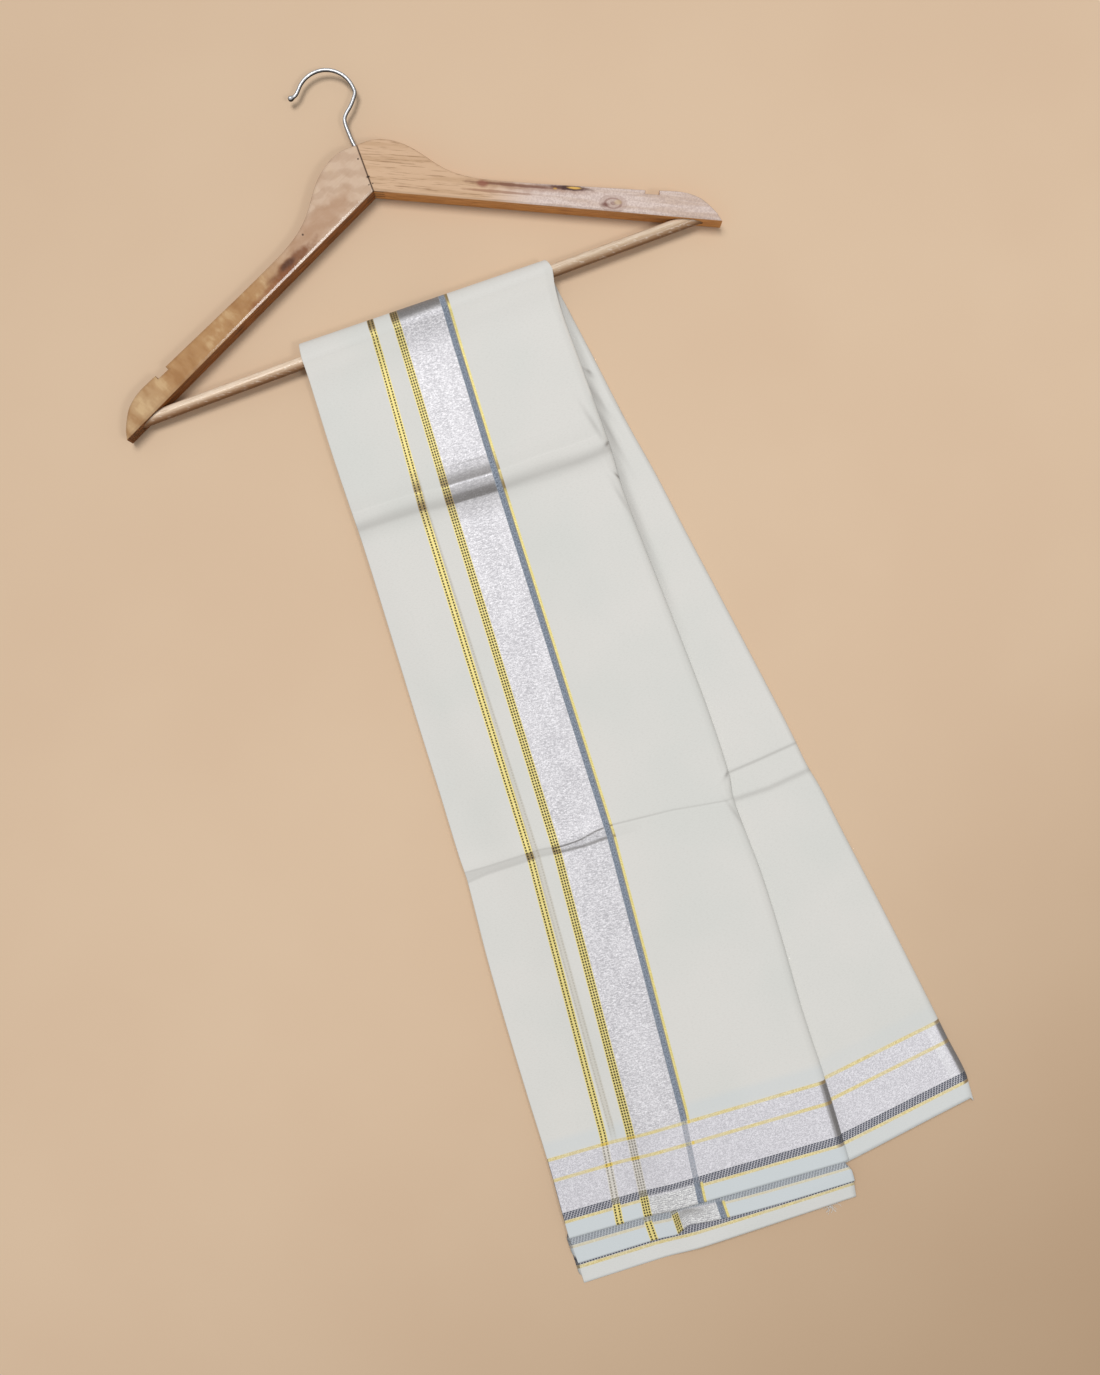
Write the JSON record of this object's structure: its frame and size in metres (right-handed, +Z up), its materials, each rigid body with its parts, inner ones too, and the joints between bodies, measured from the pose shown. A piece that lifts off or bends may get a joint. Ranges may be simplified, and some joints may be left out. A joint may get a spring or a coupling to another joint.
{
  "type": "folded dhoti cloth on a wooden hanger",
  "caption": "Off-white cotton dhoti with silver and gold woven borders, pressed into a long strip and folded over the bar of a wooden hanger with a wire hook, lying flat.",
  "frame": {"origin": "middle of the bounding box's base, on the surface that the cloth and hanger lie on", "axes": "+X along the hanger's bar to the side where the back half fans out, +Y from the cloth's ends to the hook, +Z up from the surface"},
  "size_m": [0.4372, 0.866, 0.0159],
  "materials": {
    "dhoti_cotton": "soft plain-weave cotton with silver and gold metallic borders",
    "arm_wood": "clear satin lacquer over streaked pale wood",
    "bar_wood": "satin pale wood",
    "hook_wire": "bright plated wire"
  },
  "bodies": {
    "root": {"cloth_front_top": "dhoti_cotton", "cloth_front_second": "dhoti_cotton", "cloth_front_third": "dhoti_cotton", "cloth_back_top": "dhoti_cotton", "cloth_back_under": "dhoti_cotton", "hanger_arm_left": "arm_wood", "hanger_arm_right": "arm_wood", "hanger_trouser_bar": "bar_wood", "hanger_hook": "hook_wire"}
  },
  "joints": []
}
